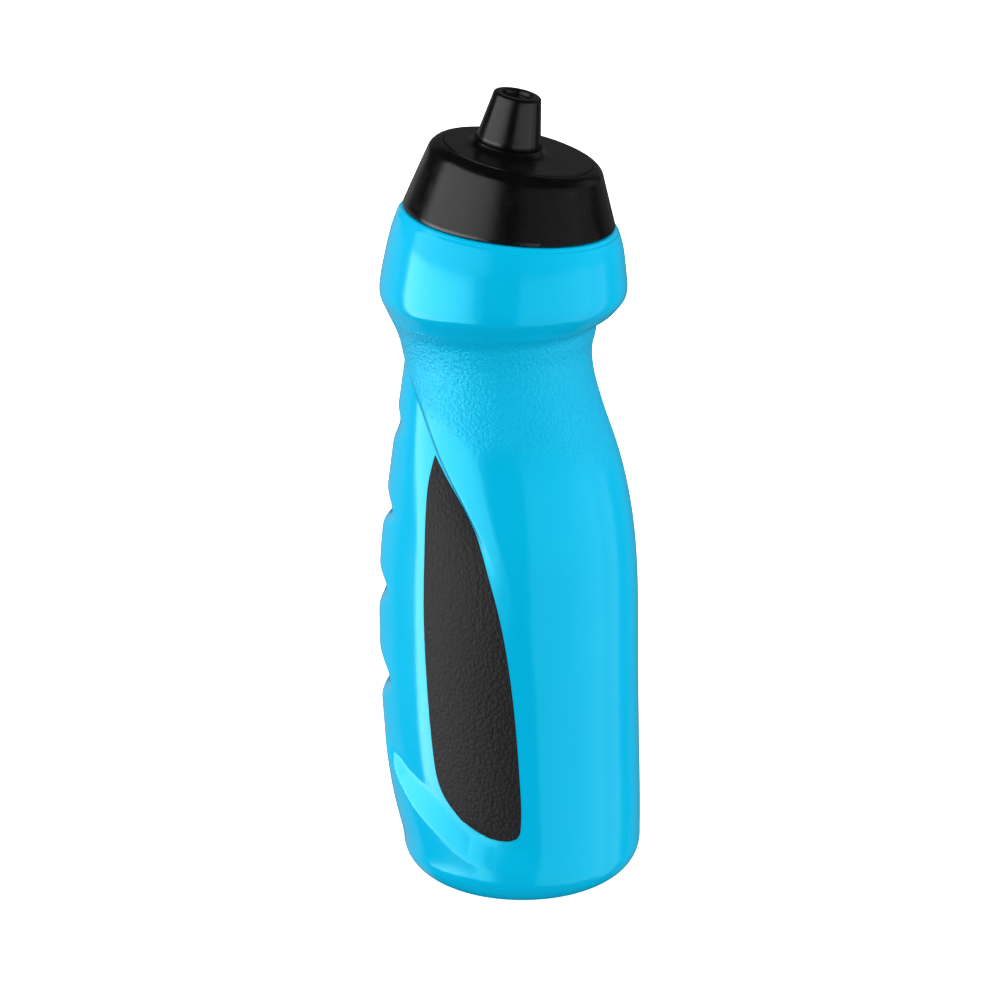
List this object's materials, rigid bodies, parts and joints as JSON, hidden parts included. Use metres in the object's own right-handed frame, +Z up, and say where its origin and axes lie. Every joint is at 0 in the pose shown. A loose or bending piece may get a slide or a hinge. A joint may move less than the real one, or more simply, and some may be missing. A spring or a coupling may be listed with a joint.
{
  "type": "sports squeeze bottle",
  "caption": "Squeeze bottle with a leaning neck, pinched waist, finger grooves, rubber flank grips and a screw lid with a push-pull nozzle.",
  "frame": {"origin": "bottom centre of the whole bottle's bounding box", "axes": "+Z up, +X towards the front that the neck leans to, -X through the finger grooves, grip pads on -Y and +Y"},
  "size_m": [0.0802, 0.073, 0.2418],
  "materials": {
    "blue_body": "smooth gloss, finely grained under the collar",
    "black_lid": "polished",
    "grip_rubber": "satin, crackle grain",
    "seal_rubber": "matte"
  },
  "bodies": {
    "bottle": {"bottle_body": "blue_body", "bottle_neck": "blue_body", "grip_pad_right": "grip_rubber", "grip_pad_left": "grip_rubber"},
    "seal": {"lid_gasket": "seal_rubber"},
    "lid": {"lid_shell": "black_lid", "lid_deck": "black_lid", "valve_post": "black_lid", "post_o_ring": "seal_rubber"},
    "spout": {"nozzle": "black_lid"}
  },
  "joints": [
    {"name": "lid_lift", "type": "slide", "parent": "bottle", "child": "seal", "axis": [0.1149, 0, 0.9934], "range_m": [0, 0.01401]},
    {"name": "lid_turn", "type": "hinge", "parent": "seal", "child": "lid", "pos_m": [-0.00075, 0, 0.2047], "axis": [0.1149, 0, 0.9934], "range_deg": [0, 1260]},
    {"name": "nozzle_pull", "type": "slide", "parent": "lid", "child": "spout", "axis": [0.1925, 0, 0.9813], "range_m": [0, 0.006]}
  ],
  "couplings": [
    {"joint": "lid_lift", "follows": "lid_turn", "m_per_rad": 0.00063662}
  ]
}
